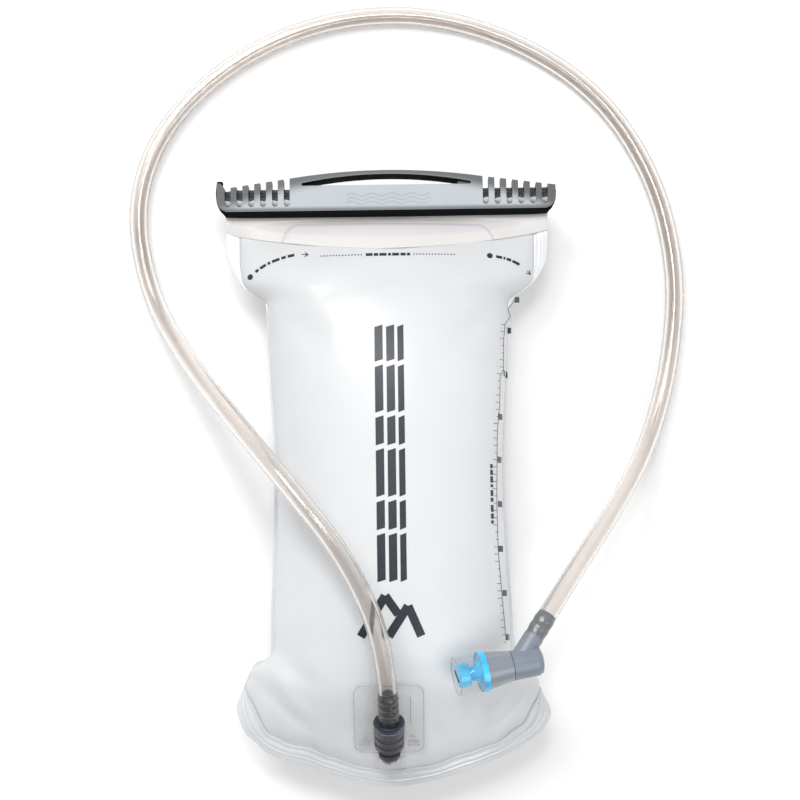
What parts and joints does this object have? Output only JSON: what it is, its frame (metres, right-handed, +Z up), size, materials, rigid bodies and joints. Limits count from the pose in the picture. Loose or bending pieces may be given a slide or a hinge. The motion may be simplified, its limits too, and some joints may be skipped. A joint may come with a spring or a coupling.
{
  "type": "hydration bladder",
  "caption": "Water bag with a slide-on top closure, a shut-off port low on its front, a plug-in drink tube and an elbow bite valve with a pull-off cap.",
  "frame": {"origin": "on the ground under the middle of the bag and its slider, without the hose", "axes": "+X across the bag, +Y from the port end to the slider, +Z up out of the bag's front face"},
  "size_m": [0.2904, 0.4059, 0.0942],
  "materials": {
    "film": "frosted translucent film",
    "band": "soft satin",
    "slider_grey": "fine moulded texture",
    "clear_plastic": "clear moulded",
    "plug_grey": "satin",
    "tube": "translucent, glossy",
    "elbow_grey": "satin",
    "silicone_blue": "translucent silicone",
    "seal": "matt",
    "steel": "bright wire"
  },
  "bodies": {
    "reservoir": {"front_panel": "film", "back_panel": "film", "mouth_band_front": "band", "mouth_band_back": "band", "fold_rail": "slider_grey", "port_plate": "clear_plastic", "port_socket": "clear_plastic", "spring_cap": "clear_plastic", "poppet_spring": "steel"},
    "slider": {"slider": "slider_grey"},
    "poppet": {"poppet": "plug_grey", "poppet_seal": "seal"},
    "hose": {"hose_plug": "plug_grey", "plug_o_rings": "seal", "drink_tube": "tube"},
    "elbow": {"elbow_body": "elbow_grey", "valve_core": "elbow_grey", "core_o_rings": "seal"},
    "valve": {"shutoff_barrel": "clear_plastic", "bite_valve": "silicone_blue"},
    "shield": {"valve_shield": "clear_plastic"}
  },
  "joints": [
    {"name": "slider_slide", "type": "slide", "parent": "reservoir", "child": "slider", "axis": [-1, 0, 0], "range_m": [0, 0.175]},
    {"name": "hose_pull", "type": "slide", "parent": "reservoir", "child": "hose", "axis": [0, 0.809, 0.5878], "range_m": [0, 0.02]},
    {"name": "poppet_slide", "type": "slide", "parent": "reservoir", "child": "poppet", "axis": [0, 0.809, 0.5878], "range_m": [0, 0.0024], "deforming": ["poppet_spring"]},
    {"name": "elbow_swivel", "type": "hinge", "parent": "hose", "child": "elbow", "pos_m": [0.0597, -0.0944, 0.0665], "axis": [0.5449, 0.8078, -0.225], "range_deg": [0, 180]},
    {"name": "shutoff_twist", "type": "hinge", "parent": "elbow", "child": "valve", "pos_m": [0.0597, -0.0944, 0.0665], "axis": [-0.9727, -0.1715, 0.1564], "range_deg": [0, 90]},
    {"name": "shield_pull", "type": "slide", "parent": "valve", "child": "shield", "axis": [-0.9727, -0.1715, 0.1564], "range_m": [0, 0.016]}
  ],
  "couplings": [
    {"joint": "poppet_slide", "follows": "hose_pull", "ratio": 0.12}
  ]
}
